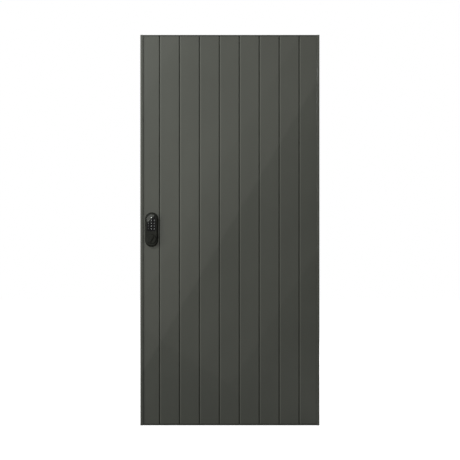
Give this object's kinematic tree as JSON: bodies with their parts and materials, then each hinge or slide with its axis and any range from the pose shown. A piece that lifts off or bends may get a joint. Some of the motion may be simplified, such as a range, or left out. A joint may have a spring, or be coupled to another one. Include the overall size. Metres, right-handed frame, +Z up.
{
  "type": "aluminium door",
  "caption": "Single inward-opening door leaf of vertical V-jointed hollow aluminium boards in a slim L-section frame, with a capsule keypad deadbolt lock and an inside pull handle.",
  "frame": {"origin": "on the underside of the threshold at mid width, on the line of the wall and floor fixings (31 mm behind the front of the frame)", "axes": "+X to the right seen from outside, +Y into the building, +Z up"},
  "size_m": [0.963, 0.1552, 2.1],
  "materials": {
    "board_coating": "satin textured powder coat, dark olive grey",
    "frame_coating": "satin powder coat, dark olive grey",
    "mill_aluminium": "mill finish",
    "insulation": "rigid foam board",
    "break_plastic": "glass-filled, black",
    "seal_rubber": "matt black",
    "brush_pile": "dense black pile",
    "stainless_steel": "satin brushed",
    "zinc_plated_steel": "zinc plated",
    "bolt_brass": "satin",
    "lock_black": "satin black",
    "lock_plastic": "fine-textured black",
    "keypad_glass": "gloss black touch panel",
    "indicator": "lit white lens",
    "circuit_board": "green solder mask",
    "cable_sheath": "black sheath",
    "cell_sleeve": "plain printed sleeve"
  },
  "bodies": {
    "frame": {"jamb_lock_side": "frame_coating", "jamb_hinge_side": "frame_coating", "head": "frame_coating", "threshold": "frame_coating", "corner_welds": "mill_aluminium", "jamb_seals": "seal_rubber", "head_brush": "brush_pile", "strike_plate": "stainless_steel", "strike_screws": "stainless_steel", "hinge_bottom_frame_plate": "stainless_steel", "hinge_middle_frame_plate": "stainless_steel", "hinge_top_frame_plate": "stainless_steel", "hinge_pins": "stainless_steel", "hinge_frame_screws": "stainless_steel"},
    "leaf": {"battery_cells": "cell_sleeve", "battery_contacts": "zinc_plated_steel", "battery_cover": "lock_plastic", "bolt_case": "zinc_plated_steel", "bottom_brush": "brush_pile", "bottom_brush_holder": "mill_aluminium", "bottom_rail": "mill_aluminium", "core_panels": "insulation", "faceplate": "stainless_steel", "faceplate_screws": "stainless_steel", "handle_screws": "stainless_steel", "hinge_bottom_leaf_plate": "stainless_steel", "hinge_leaf_screws": "stainless_steel", "hinge_middle_leaf_plate": "stainless_steel", "hinge_stile": "frame_coating", "hinge_top_leaf_plate": "stainless_steel", "indicator_lens": "indicator", "inner_back_plate": "zinc_plated_steel", "inner_boards": "board_coating", "inner_housing": "lock_plastic", "keypad_circuit_board": "circuit_board", "keypad_glass": "keypad_glass", "lock_cable": "cable_sheath", "lock_stile": "frame_coating", "lock_through_bolts": "zinc_plated_steel", "middle_rail": "mill_aluminium", "outer_board_1": "board_coating", "outer_board_2": "board_coating", "outer_board_3": "board_coating", "outer_board_4": "board_coating", "outer_board_5": "board_coating", "outer_board_6": "board_coating", "outer_board_7": "board_coating", "outer_board_8": "board_coating", "outer_board_9": "board_coating", "outer_gasket": "seal_rubber", "outer_housing": "lock_black", "pull_handle": "stainless_steel", "rail_cleats": "mill_aluminium", "thermal_breaks": "break_plastic", "top_rail": "mill_aluminium"},
    "thumb_turn": {"thumb_turn": "lock_plastic", "turn_blade": "zinc_plated_steel", "bolt_cam": "zinc_plated_steel"},
    "bolt": {"deadbolt": "bolt_brass"},
    "knob": {"outer_knob": "lock_black"}
  },
  "joints": [
    {"name": "leaf_swing", "type": "hinge", "parent": "frame", "child": "leaf", "pos_m": [0.476, 0.037, 1.05], "axis": [0, 0, -1], "range_deg": [0, 105]},
    {"name": "thumb_turn", "type": "hinge", "parent": "leaf", "child": "thumb_turn", "pos_m": [-0.421, 0.003, 1.003], "axis": [0, -1, 0], "range_deg": [0, 90]},
    {"name": "bolt_throw", "type": "slide", "parent": "leaf", "child": "bolt", "axis": [-1, 0, 0], "range_m": [0, 0.02]},
    {"name": "knob_turn", "type": "hinge", "parent": "leaf", "child": "knob", "pos_m": [-0.421, 0.003, 1.003], "axis": [0, -1, 0], "range_deg": [0, 90]}
  ],
  "couplings": [
    {"joint": "bolt_throw", "follows": "thumb_turn", "m_per_rad": 0.01273},
    {"joint": "knob_turn", "follows": "thumb_turn", "ratio": 1}
  ]
}
